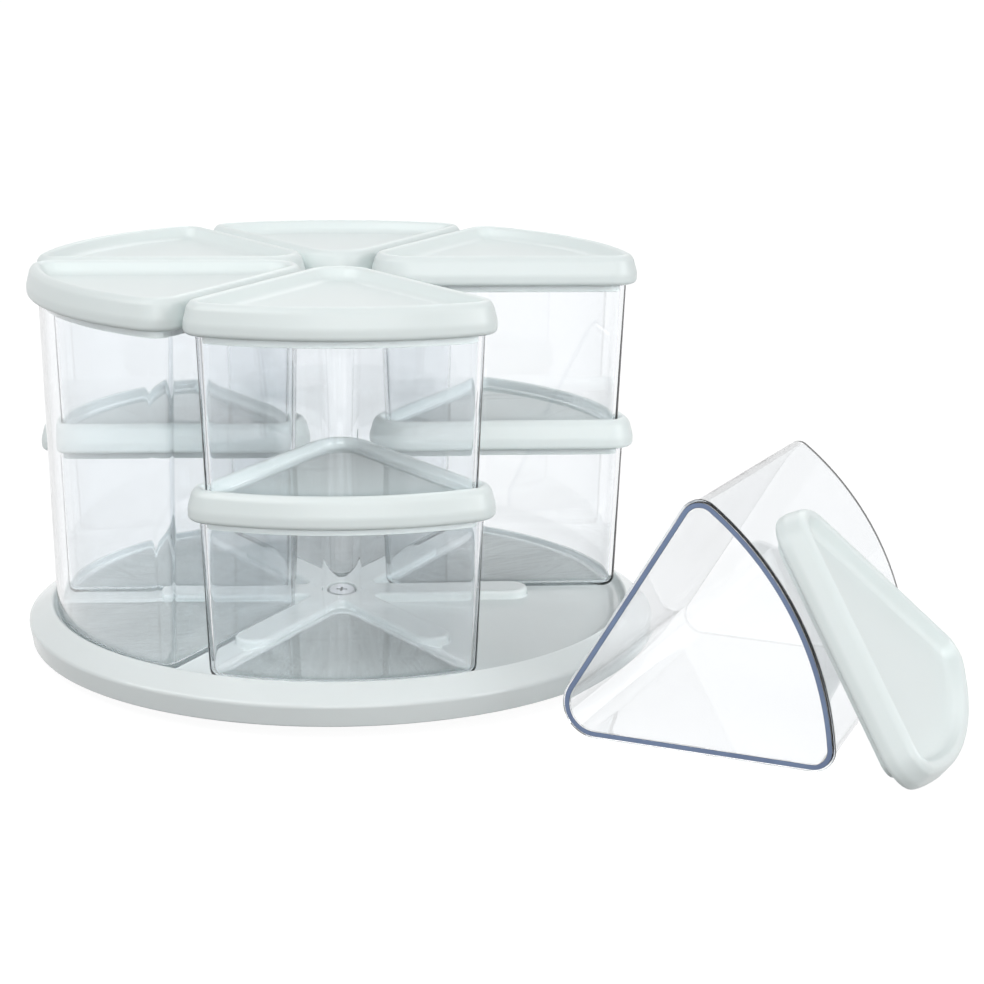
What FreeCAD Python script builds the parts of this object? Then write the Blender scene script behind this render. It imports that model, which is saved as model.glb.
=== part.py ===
import FreeCAD, Part
import math
import os
import Sketcher

# Rotating carousel of wedge-shaped bins: a turntable tray on a ball-bearing base carries six
# stacks of clear bins with white lids.  One tall bin is off the tray, lying on its side, with
# its lid leaning on it.  Millimetres, +Z up, origin on the table below the turntable's axis.

# Bin positions round the turntable, counter-clockwise from the front, and what stands there.
PLACES = [
    ("front", "two small bins"),
    ("right_front", "nothing: its tall bin is off the tray"),
    ("right_rear", "two small bins"),
    ("rear", "tall bin"),
    ("left_rear", "two small bins"),
    ("left_front", "tall bin"),
]

# Driving sizes: alias, value, meaning.
SIZES = [
    ("rest_turn", 5.4, "angle of the turntable at rest, degrees"),
    # tray
    ("bin_play", 2, "clearance between a bin's side and the tray's crest"),
    ("crest_width", 2.3, "tray: width of the slope from the dish up to the crest"),
    ("bevel_width", 11, "tray: width of the bevel from the crest out to the shoulder"),
    ("skirt_draft", 1.5, "tray: hem inwards from the shoulder"),
    ("hem_height", 6, "tray: hem above the table"),
    ("shoulder_height", 15.5, "tray: shoulder above the table"),
    ("crest_height", 23, "tray: crest above the table"),
    ("crest_round", 1.2, "tray: rounding of the crest"),
    ("shoulder_round", 2, "tray: rounding of the shoulder"),
    ("dish_round", 1.5, "tray: rounding at the foot of the crest"),
    ("hem_edge", 0.8, "tray: rounding of the hem"),
    ("floor_height", 18.5, "tray: dish floor above the table"),
    ("tray_wall", 2.5, "tray: wall thickness"),
    ("crest_foot", 1.5, "tray: hollow under the crest, where it starts outside the dish floor"),
    ("crest_shift", 1, "tray: peak of that hollow, outside the crest"),
    ("crest_wall", 3.7, "tray: wall straight down through the crest"),
    ("shoulder_wall", 1.3, "tray: top of the skirt's inside below the shoulder"),
    ("rib_play", 0.1, "clearance between a bin's side and a rib, which the base's rounding adds to"),
    ("rib_height", 4.3, "tray: rib above the dish floor"),
    ("rib_reach", 87, "tray: radius of a rib's outer end"),
    ("rib_round", 1.5, "tray: rounding of a rib's top edge"),
    # wedge outline of a lid, which every other outline of the lids and bins is moved in from
    ("lid_radius", 138, "lid: outer arc radius about the turntable's axis"),
    ("lid_gap", 2, "lid: gap between neighbouring lids"),
    ("lid_corner", 13, "lid: corner radius at the arc"),
    ("lid_apex", 18.2, "lid: corner radius at the apex"),
    ("rim_height", 13.8, "lid: height of the rim"),
    ("rim_round", 6.2, "lid: rounding of the rim's upper outer edge"),
    ("hem_round", 2.6, "lid: rounding of the rim's lower outer edge"),
    ("nest_fit", 0.3, "clearance between a bin's rounded base and the recess's sloping wall"),
    ("slope_width", 3.6, "lid: width of the recess's sloping wall"),
    ("recess_depth", 6.3, "lid: depth of the recess"),
    ("recess_lip", 1.6, "lid: rounding of the recess's upper edge"),
    ("recess_round", 3, "lid: rounding of the recess's floor edge"),
    ("panel", 2, "lid: thickness under the recess floor"),
    ("lid_lap", 8, "lid: length of bin that the rim covers"),
    ("plug_drop", 3.7, "lid: plug below the rim"),
    ("plug_wall", 1.6, "lid: wall of the plug"),
    ("plug_lead", 0.6, "lid: lead-in chamfer of the plug"),
    ("plug_fit", 0.3, "clearance between the plug and the bin's mouth"),
    ("bead_fit", 0.6, "clearance between the bin's bead and the lid's groove"),
    # bins
    ("mouth_inset", 4.6, "bin: mouth inwards from the lid's outline"),
    ("bin_wall", 2.3, "bin: wall thickness"),
    ("bin_floor", 2.3, "bin: floor thickness"),
    ("draft_inset", 2.9, "bin: base inwards from the mouth"),
    ("foot_round", 5, "bin: rounding of the base edge"),
    ("floor_round", 2.7, "bin: rounding inside the base edge"),
    ("bead_width", 0.9, "bin: bead outwards from the mouth"),
    ("bead_height", 3, "bin: height of the bead"),
    ("bead_round", 0.6, "bin: rounding of the bead"),
    ("small_height", 77, "small bin: height"),
    # bearing and base
    ("race_radius", 70, "radius of the ball circle"),
    ("race_width", 16, "width of each race ring"),
    ("ball_count", 12, "balls in the bearing"),
    ("ball_radius", 3, "ball radius"),
    ("ball_height", 11.5, "ball centres above the table"),
    ("ball_play", 0.08, "clearance between a ball and its grooves"),
    ("race_gap", 2.6, "gap between the two race rings"),
    ("cage_thickness", 1.6, "ball cage: thickness"),
    ("cage_width", 13, "ball cage: width"),
    ("cage_play", 0.3, "ball cage: clearance round a ball"),
    ("base_radius", 100, "base: outer radius"),
    ("base_height", 2, "base: underside above the table"),
    ("base_wall", 2.5, "base: thickness"),
    ("base_lip", 3.5, "base: height of the stiffening lip above the plate"),
    ("boss_radius", 11, "base: radius of the centre boss"),
    ("boss_gap", 0.3, "gap between the boss and the tray"),
    ("foot_count", 6, "rubber feet"),
    ("foot_radius", 8, "rubber foot: radius"),
    ("foot_circle", 86, "radius of the circle of feet"),
    ("foot_sink", 1.2, "depth of a foot in the base"),
    ("foot_play", 0.1, "clearance round a foot in its seat"),
    # pivot
    ("pivot_radius", 4, "pivot screw: shoulder radius"),
    ("pivot_play", 0.08, "clearance round the shoulder"),
    ("head_radius", 9, "pivot screw: head radius"),
    ("head_height", 3, "pivot screw: head height"),
    ("head_dome", 1, "pivot screw: bevel of the head"),
    ("head_sink", 4.2, "depth of the counterbore in the tray's hub"),
    ("head_clear", 1, "clearance round the washer in the counterbore"),
    ("end_play", 0.1, "clearance between the washer and the head"),
    ("thread_radius", 2.5, "pivot screw: thread radius"),
    ("thread_length", 9, "pivot screw: thread length"),
    ("thread_play", 0.05, "clearance round the thread"),
    ("drive_depth", 1.8, "pivot screw: depth of the cross recess"),
    ("drive_reach", 3.4, "pivot screw: half length of the cross recess"),
    ("drive_width", 1.4, "pivot screw: width of the cross recess"),
    ("washer_radius", 9.5, "washer: outer radius"),
    ("washer_height", 0.8, "washer: thickness"),
    # the bin and lid that are off the tray
    ("loose_heading", -21.4, "lying bin: heading of its lower side, degrees"),
    ("loose_tuck", 20, "lying bin: its arc's centre line inside the tray's widest circle"),
    ("loose_ahead", 83, "lying bin: its mouth in front of the turntable's axis"),
    ("lean_angle", 37.4, "leaning lid: where it touches the bin's arc, degrees from the table"),
    ("lean_turn", 7.3, "leaning lid: turn of its apex towards the mouth, degrees"),
    ("lean_setback", 29.3, "leaning lid: its middle behind the bin's mouth"),
    ("lean_gap", 0.3, "clearance between the leaning lid and the lying bin"),
]

doc = FreeCAD.newDocument("carousel")
sheet = doc.addObject("Spreadsheet::Sheet", "sizes")
for row, (alias, size, meaning) in enumerate(SIZES, start=1):
    sheet.set(f"A{row}", meaning)
    sheet.set(f"B{row}", str(size))
    sheet.setAlias(f"B{row}", alias)
doc.recompute()

# Lengths that follow from the sizes, as expressions on the sheet.
HALF_ANGLE = f"180 / {len(PLACES)}"
LID_SIDE = "sizes.lid_gap / 2"
LID_SEAT = "(sizes.rim_height - sizes.recess_depth)"
TALL_HEIGHT = f"(2 * sizes.small_height + {LID_SEAT} - sizes.lid_lap)"
STACK_PITCH = f"(sizes.small_height - sizes.lid_lap + {LID_SEAT})"
CAVITY_ROOF = f"({LID_SEAT} - sizes.panel)"
BASE_INSET = "(sizes.mouth_inset + sizes.draft_inset)"
FOOT_ROUND = f"min(sizes.foot_round; (sizes.lid_corner - {BASE_INSET}) * 0.9)"
SLOPE = "sqrt(sizes.slope_width ^ 2 + sizes.recess_depth ^ 2)"
FOOT_SETBACK = (f"((({FOOT_ROUND} + sizes.nest_fit) * {SLOPE} - {FOOT_ROUND} * sizes.slope_width)"
                " / sizes.recess_depth)")
CREST_INSET = f"({BASE_INSET} + {FOOT_ROUND} - {FOOT_SETBACK} - sizes.slope_width)"
RIM_ROUND = f"min(sizes.rim_round; {CREST_INSET} - 1)"
BEAD_INSET = "(sizes.mouth_inset - sizes.bead_width)"
GROOVE_INSET = f"({BEAD_INSET} - sizes.bead_fit)"
HEM_ROUND = f"min(sizes.hem_round; {GROOVE_INSET} - 1)"
# The plug clears the tapered wall at its tip, in the smallest bin.
PLUG_DRAFT = "sizes.draft_inset * (sizes.lid_lap + sizes.plug_drop) / sizes.small_height"
PLUG_INSET = f"(sizes.mouth_inset + sizes.bin_wall + sizes.plug_fit + {PLUG_DRAFT})"
CREST_RADIUS = f"(sizes.lid_radius - {BASE_INSET} + sizes.bin_play)"
DISH_RADIUS = f"({CREST_RADIUS} - sizes.crest_width)"
SHOULDER_RADIUS = f"({CREST_RADIUS} + sizes.bevel_width)"
HEM_RADIUS = f"({SHOULDER_RADIUS} - sizes.skirt_draft)"
RIB_HALF = f"({LID_SIDE} + {BASE_INSET} - sizes.rib_play)"
RIB_TOP = "(sizes.floor_height + sizes.rib_height)"
TRAY_UNDERSIDE = "(sizes.floor_height - sizes.tray_wall)"
PLATE_TOP = "(sizes.base_height + sizes.base_wall)"
LOWER_RACE = "(sizes.ball_height - sizes.race_gap / 2)"
UPPER_RACE = "(sizes.ball_height + sizes.race_gap / 2)"
RACE_IN = "(sizes.race_radius - sizes.race_width / 2)"
RACE_OUT = "(sizes.race_radius + sizes.race_width / 2)"
BOSS_TOP = f"({TRAY_UNDERSIDE} - sizes.boss_gap)"
HUB_SEAT = f"({RIB_TOP} - sizes.head_sink)"
HEAD_SEAT = f"({HUB_SEAT} + sizes.washer_height + sizes.end_play)"
PIVOT_BORE = "(sizes.pivot_radius + sizes.pivot_play)"
BALL_SEAT = "(sizes.ball_radius + sizes.ball_play)"


def number(expression):
    """Value of an expression on the sheet."""
    return float(sheet.evalExpression(expression))


def add(*terms):
    return "(" + " + ".join(terms) + ")"


def less(whole, *parts):
    return "(" + " - ".join((whole,) + parts) + ")"


# ---------------------------------------------------------------- sketches

def new_body(label):
    body = doc.addObject("PartDesign::Body", label)
    body.Label = label
    return body


def new_sketch(body, name, plane="XY_Plane", height="0"):
    """Empty sketch on one of the body's own origin planes, raised by an expression."""
    sketch = body.newObject("Sketcher::SketchObject", name)
    origin = next(f for f in body.Origin.OriginFeatures if f.Role == plane)
    sketch.AttachmentSupport = [(origin, "")]
    sketch.MapMode = "FlatFace"
    if height != "0":
        sketch.setExpression("AttachmentOffset.Base.z", height)
    return sketch


def bind(sketch, kind, *where, to):
    """Dimension of a sketch, tied to an expression."""
    start = number(to)
    if kind == "Angle":
        start = math.radians(start)
    index = sketch.addConstraint(Sketcher.Constraint(kind, *where, start))
    sketch.setExpression(f"Constraints[{index}]", to)


def fix_point(sketch, geometry, point, x, y):
    """Tie a point of a sketch to a pair of expressions."""
    for kind, to, axis in (("DistanceX", x, -2), ("DistanceY", y, -1)):
        if to == "0":
            sketch.addConstraint(Sketcher.Constraint("PointOnObject", geometry, point, axis))
        else:
            bind(sketch, kind, -1, 1, geometry, point, to=to)


def draw_polygon(sketch, corners):
    """Closed polygon whose corners are pairs of expressions."""
    points = [FreeCAD.Vector(number(x), number(y), 0) for x, y in corners]
    first = sketch.GeometryCount
    for start, end in zip(points, points[1:] + points[:1]):
        sketch.addGeometry(Part.LineSegment(start, end), False)
    for i in range(len(corners)):
        before = first + (i - 1) % len(corners)
        sketch.addConstraint(Sketcher.Constraint("Coincident", before, 2, first + i, 1))
    for i, (x, y) in enumerate(corners):
        fix_point(sketch, first + i, 1, x, y)


def draw_circle(sketch, radius, x="0", y="0"):
    """Circle about a point."""
    centre = FreeCAD.Vector(number(x), number(y), 0)
    circle = Part.Circle(centre, FreeCAD.Vector(0, 0, 1), number(radius))
    index = sketch.addGeometry(circle, False)
    fix_point(sketch, index, 3, x, y)
    bind(sketch, "Radius", index, to=radius)


def draw_wedge(sketch, from_lid="0"):
    """Rounded wedge about +X, a lid's outline moved inwards: an arc about the origin and two
    sides that run parallel to the lines between the bin positions."""
    radius, side = less("sizes.lid_radius", from_lid), add(LID_SIDE, from_lid)
    corner, apex = less("sizes.lid_corner", from_lid), less("sizes.lid_apex", from_lid)
    arc_r, inset, corner_r, apex_r = (number(e) for e in (radius, side, corner, apex))
    half = math.radians(number(HALF_ANGLE))
    along = FreeCAD.Vector(math.cos(half), math.sin(half), 0)
    inwards = FreeCAD.Vector(math.sin(half), -math.cos(half), 0)
    reach = math.sqrt((arc_r - corner_r) ** 2 - (inset + corner_r) ** 2)
    corner_at = along * reach + inwards * (inset + corner_r)
    apex_at = FreeCAD.Vector((inset + apex_r) / math.sin(half), 0, 0)
    corner_turn = math.atan2(corner_at.y, corner_at.x)
    square = half + math.pi / 2

    def mirrored(point):
        return FreeCAD.Vector(point.x, -point.y, 0)

    def arc(centre, r, start, end):
        circle = Part.Circle(centre, FreeCAD.Vector(0, 0, 1), r)
        return sketch.addGeometry(Part.ArcOfCircle(circle, start, end), False)

    side_in = apex_at - inwards * apex_r
    side_out = corner_at - inwards * corner_r
    outer = arc(FreeCAD.Vector(), arc_r, -corner_turn, corner_turn)
    left_corner = arc(corner_at, corner_r, corner_turn, square)
    left = sketch.addGeometry(Part.LineSegment(side_in, side_out), False)
    tip = arc(apex_at, apex_r, square, 2 * math.pi - square)
    right = sketch.addGeometry(Part.LineSegment(mirrored(side_in), mirrored(side_out)), False)
    right_corner = arc(mirrored(corner_at), corner_r, -square, -corner_turn)

    joins = [(outer, 2, left_corner, 1), (left_corner, 2, left, 2), (left, 1, tip, 1),
             (tip, 2, right, 1), (right, 2, right_corner, 1), (right_corner, 2, outer, 1)]
    for join in joins:
        sketch.addConstraint(Sketcher.Constraint("Tangent", *join))
    sketch.addConstraint(Sketcher.Constraint("Coincident", outer, 3, -1, 1))
    sketch.addConstraint(Sketcher.Constraint("PointOnObject", tip, 3, -1))
    sketch.addConstraint(Sketcher.Constraint("Equal", left_corner, right_corner))
    bind(sketch, "Radius", outer, to=radius)
    bind(sketch, "Radius", left_corner, to=corner)
    bind(sketch, "Radius", tip, to=apex)
    bind(sketch, "Angle", left, to=HALF_ANGLE)
    bind(sketch, "Angle", right, to=f"-{HALF_ANGLE}")
    bind(sketch, "Distance", -1, 1, left, to=side)


# ---------------------------------------------------------------- features

def pad(body, sketch, length, reverse=False, taper=None):
    feature = body.newObject("PartDesign::Pad", "Pad")
    feature.Profile = sketch
    feature.Reversed = reverse
    feature.setExpression("Length", length)
    if taper:
        feature.setExpression("TaperAngle", taper)
    return finish(body, feature, grows=True)


def pocket(body, sketch, depth, reverse=False, taper=None):
    feature = body.newObject("PartDesign::Pocket", "Pocket")
    feature.Profile = sketch
    feature.Reversed = reverse
    feature.setExpression("Length", depth)
    if taper:
        feature.setExpression("TaperAngle", taper)
    return finish(body, feature, grows=False)


def revolve(body, sketch):
    feature = body.newObject("PartDesign::Revolution", "Revolution")
    feature.Profile = sketch
    feature.ReferenceAxis = (sketch, ["V_Axis"])
    feature.Angle = 360
    return finish(body, feature, grows=True)


def pattern(body, feature, count):
    """Repeat a feature round the Z axis."""
    grows = feature.TypeId != "PartDesign::Pocket"
    polar = body.newObject("PartDesign::PolarPattern", "PolarPattern")
    polar.Originals = [feature]
    z_axis = next(f for f in body.Origin.OriginFeatures if f.Role == "Z_Axis")
    polar.Axis = (z_axis, [""])
    polar.Angle = 360
    polar.setExpression("Occurrences", count)
    return finish(body, polar, grows=grows)


def round_edges(body, radius, chosen, kind="Fillet"):
    """Fillet or chamfer the edges of the body's tip that a test picks."""
    tip = body.Tip
    names = [f"Edge{i}" for i, edge in enumerate(tip.Shape.Edges, start=1) if chosen(edge)]
    feature = body.newObject(f"PartDesign::{kind}", kind)
    feature.Base = (tip, names)
    feature.setExpression("Radius" if kind == "Fillet" else "Size", radius)
    return finish(body, feature)


def finish(body, feature, grows=None):
    """Recompute a new feature and check that it changed the body the right way."""
    body.Tip = feature
    doc.recompute()
    before = feature.BaseFeature.Shape.Volume if feature.BaseFeature else 0
    after = feature.Shape.Volume
    if grows is not None and (after > before) != grows:
        raise ValueError(f"{body.Label}: {feature.Label} went the wrong way")
    return feature


def level(edge, height):
    """Whether an edge lies flat at a height."""
    box = edge.BoundBox
    return abs(box.ZMin - height) < 1e-4 and abs(box.ZMax - height) < 1e-4


def middle(edge):
    """Point halfway along an edge."""
    return edge.valueAt((edge.FirstParameter + edge.LastParameter) / 2)


def wedge_test(height, inset):
    """Test for the flat edges at a height that run at an inset from a lid's outline."""
    z, wanted = number(height), number(inset)
    half = math.radians(number(HALF_ANGLE))

    def chosen(edge):
        if not level(edge, z):
            return False
        point = middle(edge)
        radius = math.hypot(point.x, point.y)
        from_side = radius * math.sin(half - abs(math.atan2(point.y, point.x)))
        found = min(number("sizes.lid_radius") - radius, from_side - number(LID_SIDE))
        return abs(found - wanted) < 0.2

    return chosen


# ---------------------------------------------------------------- lids and bins

def make_lid(label):
    """Lid: bullnose rim, sunk top that seats the bin above, groove for the bin's bead and a
    plug inside its mouth.  z = 0 is the rim's lower edge."""
    body = new_body(label)
    rim = new_sketch(body, "rim")
    draw_wedge(rim)
    pad(body, rim, "sizes.rim_height")
    top, bottom = number("sizes.rim_height"), 0.0
    round_edges(body, RIM_ROUND, lambda e: level(e, top))
    round_edges(body, HEM_ROUND, lambda e: level(e, bottom))

    recess = new_sketch(body, "recess", height="sizes.rim_height")
    draw_wedge(recess, CREST_INSET)
    slope = "-atan(sizes.slope_width / sizes.recess_depth)"
    pocket(body, recess, "sizes.recess_depth", taper=slope)
    seat = number(LID_SEAT)
    round_edges(body, "sizes.recess_round", lambda e: level(e, seat))
    round_edges(body, "sizes.recess_lip", wedge_test("sizes.rim_height", CREST_INSET))

    plug = new_sketch(body, "plug")
    draw_wedge(plug, PLUG_INSET)
    pad(body, plug, "sizes.plug_drop", reverse=True)
    groove = new_sketch(body, "groove")
    draw_wedge(groove, GROOVE_INSET)
    draw_wedge(groove, PLUG_INSET)
    pocket(body, groove, "sizes.lid_lap", reverse=True)
    cavity = new_sketch(body, "cavity", height="-sizes.plug_drop")
    draw_wedge(cavity, add(PLUG_INSET, "sizes.plug_wall"))
    pocket(body, cavity, add("sizes.plug_drop", CAVITY_ROOF), reverse=True)
    round_edges(body, "sizes.plug_lead", wedge_test("-sizes.plug_drop", PLUG_INSET), kind="Chamfer")
    return body


def make_bin(label, height):
    """Bin: tapered clear shell with a bead round its mouth.  z = 0 is its underside."""
    body = new_body(label)
    draft = f"atan(sizes.draft_inset / {height})"
    base = new_sketch(body, "base")
    draw_wedge(base, BASE_INSET)
    pad(body, base, height, taper=draft)
    round_edges(body, FOOT_ROUND, lambda e: level(e, 0.0))

    bead = new_sketch(body, "bead", height=less(height, "sizes.bead_height"))
    draw_wedge(bead, BEAD_INSET)
    pad(body, bead, "sizes.bead_height")
    top = number(height)
    round_edges(body, "sizes.bead_round", lambda e: level(e, top))
    ledge = less(height, "sizes.bead_height")
    round_edges(body, "sizes.bead_round", wedge_test(ledge, BEAD_INSET))

    cavity = new_sketch(body, "cavity", height=height)
    draw_wedge(cavity, add("sizes.mouth_inset", "sizes.bin_wall"))
    pocket(body, cavity, less(height, "sizes.bin_floor"), taper=f"-{draft}")
    inside = number("sizes.bin_floor")
    round_edges(body, "sizes.floor_round", lambda e: level(e, inside))
    return body


def stand(body, angle, height):
    """Place a bin or lid upright at an angle round the turntable's axis."""
    body.setExpression("Placement.Base.z", height)
    body.setExpression("Placement.Rotation.Angle", angle)
    body.Placement.Rotation.Axis = FreeCAD.Vector(0, 0, 1)


def position_angle(index):
    """Angle of a bin position, counted from the front one."""
    return f"(-90 + sizes.rest_turn + {index} * 360 / {len(PLACES)})"


def stand_bin(name, angle, base, height):
    """Upright bin with its lid on."""
    container = make_bin(f"{name}_bin", height)
    stand(container, angle, base)
    lid = make_lid(f"{name}_lid")
    stand(lid, angle, less(add(base, height), "sizes.lid_lap"))
    return [container, lid]


nodes = []
for index, (place, load) in enumerate(PLACES):
    turn = position_angle(index)
    floor = "sizes.floor_height"
    if load == "tall bin":
        nodes += stand_bin(f"{place}_tall", turn, floor, TALL_HEIGHT)
    elif load == "two small bins":
        nodes += stand_bin(f"{place}_lower", turn, floor, "sizes.small_height")
        nodes += stand_bin(f"{place}_upper", turn, add(floor, STACK_PITCH), "sizes.small_height")


# ---------------------------------------------------------------- lying bin and leaning lid

def lay_down(body):
    """Lay a tall bin on one flat side, so that its bead and its base edge touch the table."""
    height = number(TALL_HEIGHT)
    rise = number(less(BASE_INSET, BEAD_INSET))
    tilt = math.degrees(math.atan2(rise, height - number(FOOT_ROUND)))
    up_z, along_x = FreeCAD.Vector(0, 0, 1), FreeCAD.Vector(1, 0, 0)
    heading = FreeCAD.Rotation(up_z, number("sizes.loose_heading"))
    rotation = (heading * FreeCAD.Rotation(along_x, 90 - tilt)
                * FreeCAD.Rotation(up_z, number(HALF_ANGLE)))
    beside = number(less(SHOULDER_RADIUS, "sizes.loose_tuck"))
    mouth = heading.multVec(FreeCAD.Vector(beside, -number("sizes.loose_ahead"), 0))
    base = mouth - rotation.multVec(FreeCAD.Vector(0, 0, height))
    body.Placement = FreeCAD.Placement(base, rotation)
    doc.recompute()
    base.z -= body.Shape.optimalBoundingBox(False).ZMin
    body.Placement = FreeCAD.Placement(base, rotation)
    doc.recompute()


def lean(lid, on):
    """Lean a lid on the lying bin's arc: its plug lies along a straight line of the arc, from
    the bead to the base, and its wide end stands on the table."""
    angle = math.radians(number("sizes.lean_angle") - number(HALF_ANGLE))
    outwards = FreeCAD.Vector(math.cos(angle), math.sin(angle), 0)
    upwards = FreeCAD.Vector(-math.sin(angle), math.cos(angle), 0)
    mouth_radius = number(less("sizes.lid_radius", "sizes.mouth_inset"))
    base_radius = number(less("sizes.lid_radius", BASE_INSET))
    height = number(TALL_HEIGHT)
    near = on.Placement.multVec(outwards * mouth_radius + FreeCAD.Vector(0, 0, height))
    far = on.Placement.multVec(outwards * base_radius + FreeCAD.Vector(0, 0, 0))
    line = (near - far).normalize()
    climb = on.Placement.Rotation.multVec(upwards)
    face = climb.cross(line).normalize()
    if face.z < 0:
        face = -face
    climb = (climb - face * climb.dot(face)).normalize()
    turn = math.radians(number("sizes.lean_turn"))
    outwards_x = -(climb * math.cos(turn) + line * math.sin(turn))
    sideways_y = face.cross(outwards_x)
    rotation = FreeCAD.Rotation(outwards_x, sideways_y, face, "ZXY")
    centre = FreeCAD.Vector(number("sizes.lid_radius") / 2, 0, -number("sizes.plug_drop"))
    target = near - line * number("sizes.lean_setback") + face * number("sizes.bead_width * 2")
    base = target - rotation.multVec(centre)
    lid.Placement = FreeCAD.Placement(base, rotation)
    doc.recompute()
    base -= climb * (lid.Shape.optimalBoundingBox(False).ZMin / climb.z)
    lid.Placement = FreeCAD.Placement(base, rotation)
    doc.recompute()
    spare = lid.Shape.distToShape(on.Shape)[0] - number("sizes.lean_gap")
    base -= (face - climb * (face.z / climb.z)) * spare
    lid.Placement = FreeCAD.Placement(base, rotation)
    doc.recompute()


loose_bin = make_bin("loose_tall_bin", TALL_HEIGHT)
lay_down(loose_bin)
loose_lid = make_lid("loose_tall_lid")
lean(loose_lid, loose_bin)
nodes += [loose_bin, loose_lid]


# ---------------------------------------------------------------- turntable

def draw_rib(sketch):
    """Outline of one rib, from the axis outwards, with a round outer end."""
    half = number(RIB_HALF)
    reach = number(less("sizes.rib_reach", RIB_HALF))
    ahead, left = FreeCAD.Vector(reach, 0, 0), FreeCAD.Vector(0, half, 0)
    cap = Part.ArcOfCircle(Part.Circle(ahead, FreeCAD.Vector(0, 0, 1), half),
                           -math.pi / 2, math.pi / 2)
    top = sketch.addGeometry(Part.LineSegment(left, ahead + left), False)
    end = sketch.addGeometry(cap, False)
    low = sketch.addGeometry(Part.LineSegment(-left, ahead - left), False)
    root = sketch.addGeometry(Part.LineSegment(-left, left), False)
    sketch.addConstraint(Sketcher.Constraint("Tangent", end, 2, top, 2))
    sketch.addConstraint(Sketcher.Constraint("Tangent", end, 1, low, 2))
    sketch.addConstraint(Sketcher.Constraint("Coincident", root, 1, low, 1))
    sketch.addConstraint(Sketcher.Constraint("Coincident", root, 2, top, 1))
    sketch.addConstraint(Sketcher.Constraint("Horizontal", top))
    sketch.addConstraint(Sketcher.Constraint("PointOnObject", end, 3, -1))
    sketch.addConstraint(Sketcher.Constraint("PointOnObject", top, 1, -2))
    sketch.addConstraint(Sketcher.Constraint("PointOnObject", low, 1, -2))
    bind(sketch, "Radius", end, to=RIB_HALF)
    bind(sketch, "DistanceX", -1, 1, end, 3, to=less("sizes.rib_reach", RIB_HALF))


def ring_test(radius, height):
    """Test for the full circle of a radius at a height."""
    r, z = number(radius), number(height)

    def chosen(edge):
        return level(edge, z) and abs(edge.BoundBox.XMax - r) < 1e-3

    return chosen


def cut_race(body):
    """Groove in a race ring, for the balls."""
    race = new_sketch(body, "race", plane="XZ_Plane")
    draw_circle(race, BALL_SEAT, x="sizes.race_radius", y="sizes.ball_height")
    groove = body.newObject("PartDesign::Groove", "Groove")
    groove.Profile = race
    groove.ReferenceAxis = (race, ["V_Axis"])
    groove.Angle = 360
    finish(body, groove, grows=False)


def make_tray():
    """Turntable tray: dished shell with a bevelled rim, ribs that keep the bins apart, an
    upper race ring and a counterbored hub for the pivot screw."""
    body = new_body("turntable_tray")
    skin = "sizes.tray_wall"
    shell = new_sketch(body, "shell", plane="XZ_Plane")
    draw_polygon(shell, [
        (PIVOT_BORE, TRAY_UNDERSIDE),
        (RACE_IN, TRAY_UNDERSIDE),
        (RACE_IN, UPPER_RACE),
        (RACE_OUT, UPPER_RACE),
        (RACE_OUT, TRAY_UNDERSIDE),
        (add(DISH_RADIUS, "sizes.crest_foot"), TRAY_UNDERSIDE),
        (add(CREST_RADIUS, "sizes.crest_shift"), less("sizes.crest_height", "sizes.crest_wall")),
        (less(SHOULDER_RADIUS, skin), less("sizes.shoulder_height", "sizes.shoulder_wall")),
        (less(HEM_RADIUS, skin), "sizes.hem_height"),
        (HEM_RADIUS, "sizes.hem_height"),
        (SHOULDER_RADIUS, "sizes.shoulder_height"),
        (CREST_RADIUS, "sizes.crest_height"),
        (DISH_RADIUS, "sizes.floor_height"),
        (PIVOT_BORE, "sizes.floor_height"),
    ])
    revolve(body, shell)
    round_edges(body, "sizes.dish_round", ring_test(DISH_RADIUS, "sizes.floor_height"))
    round_edges(body, "sizes.crest_round", ring_test(CREST_RADIUS, "sizes.crest_height"))
    shoulder = ring_test(SHOULDER_RADIUS, "sizes.shoulder_height")
    round_edges(body, "sizes.shoulder_round", shoulder)
    round_edges(body, "sizes.hem_edge", ring_test(HEM_RADIUS, "sizes.hem_height"))
    cut_race(body)

    rib = new_sketch(body, "rib", height="sizes.floor_height")
    draw_rib(rib)
    pattern(body, pad(body, rib, "sizes.rib_height"), str(len(PLACES)))
    rib_top = number(RIB_TOP)
    round_edges(body, "sizes.rib_round", lambda e: level(e, rib_top))

    hub = new_sketch(body, "hub", height=RIB_TOP)
    draw_circle(hub, add("sizes.washer_radius", "sizes.head_clear"))
    pocket(body, hub, "sizes.head_sink")
    bore = new_sketch(body, "bore", height=RIB_TOP)
    draw_circle(bore, PIVOT_BORE)
    pocket(body, bore, less(RIB_TOP, TRAY_UNDERSIDE))
    return body


# ---------------------------------------------------------------- base, bearing and pivot

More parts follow.
